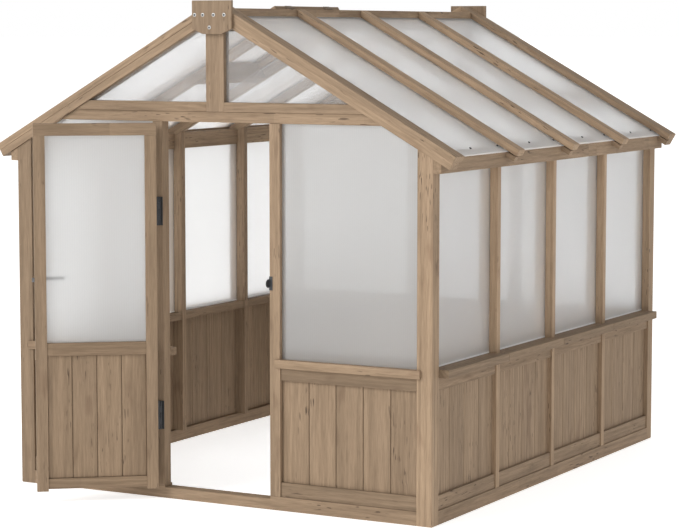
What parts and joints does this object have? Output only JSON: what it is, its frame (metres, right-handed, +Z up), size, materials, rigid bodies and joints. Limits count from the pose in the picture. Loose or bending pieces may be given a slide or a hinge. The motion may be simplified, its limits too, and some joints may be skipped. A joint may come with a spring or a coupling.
{
  "type": "greenhouse",
  "caption": "Walk-in timber greenhouse with a gable roof, translucent panes, boarded lower walls, a hinged door and a roof vent.",
  "frame": {"origin": "on the ground in the middle of the plan over the corner posts", "axes": "+X to the right seen from the door side, +Y from the door wall to the back wall, along the ridge, +Z up"},
  "size_m": [2.3194, 2.9113, 2.1929],
  "materials": {
    "timber": "brown-stained fir, matt, fine straight grain",
    "polycarbonate": "translucent milky twin-wall sheet",
    "black_metal": "black powder coat, satin",
    "grey_metal": "dull grey steel",
    "zinc": "bright zinc plate"
  },
  "bodies": {
    "frame": {"barge_caps": "timber", "base_back": "timber", "base_front": "timber", "base_sides": "timber", "boards_back": "timber", "boards_front": "timber", "boards_left": "timber", "boards_right": "timber", "caps_left": "timber", "caps_right": "timber", "door_post_left": "timber", "door_post_right": "timber", "eave_beam_left": "timber", "eave_beam_right": "timber", "end_rafters": "timber", "gable_panes": "polycarbonate", "gable_rails": "timber", "gusset_screws": "zinc", "gussets": "timber", "heads": "timber", "hinge_leaves_post": "black_metal", "king_posts": "timber", "panes_back": "polycarbonate", "panes_front": "polycarbonate", "panes_left": "polycarbonate", "panes_right": "polycarbonate", "posts_left": "timber", "posts_right": "timber", "rafters_left": "timber", "rafters_right": "timber", "rails_back": "timber", "rails_front": "timber", "rails_left": "timber", "rails_right": "timber", "ridge_beams": "timber", "roof_screws": "zinc", "roof_sheets_left": "polycarbonate", "roof_sheets_right": "polycarbonate", "sills_back": "timber", "sills_front": "timber", "sills_left": "timber", "sills_right": "timber", "strike": "black_metal", "studs_back": "timber", "studs_left": "timber", "studs_right": "timber", "vent_hinge_ridge": "black_metal", "vent_trimmer": "timber"},
    "door": {"door_stile_hinge": "timber", "door_stile_latch": "timber", "door_rails": "timber", "door_boards": "timber", "door_pane": "polycarbonate", "lever_rose": "grey_metal", "hinge_leaves_door": "black_metal"},
    "lever": {"lever_handle": "grey_metal"},
    "latch": {"latch_bolt": "grey_metal"},
    "vent": {"vent_sash": "timber", "vent_pane": "polycarbonate", "vent_hinge_sash": "black_metal"}
  },
  "joints": [
    {"name": "door_hinge", "type": "hinge", "parent": "frame", "child": "door", "pos_m": [-0.2825, -1.259, 0.824], "axis": [0, 0, -1], "range_deg": [-142, 13]},
    {"name": "lever_turn", "type": "hinge", "parent": "door", "child": "lever", "pos_m": [-0.69502, -1.5813, 0.985], "axis": [-0.6157, 0.788, 0], "range_deg": [0, 35], "stiffness_Nm_per_rad": 1.2},
    {"name": "latch_slide", "type": "slide", "parent": "door", "child": "latch", "axis": [0.788, 0.6157, 0], "range_m": [0, 0.011]},
    {"name": "vent_hinge", "type": "hinge", "parent": "frame", "child": "vent", "pos_m": [-0.062, -0.30125, 2.16476], "axis": [0, 1, 0], "range_deg": [0, 40]}
  ],
  "couplings": [
    {"joint": "latch_slide", "follows": "lever_turn", "m_per_rad": 0.018}
  ]
}
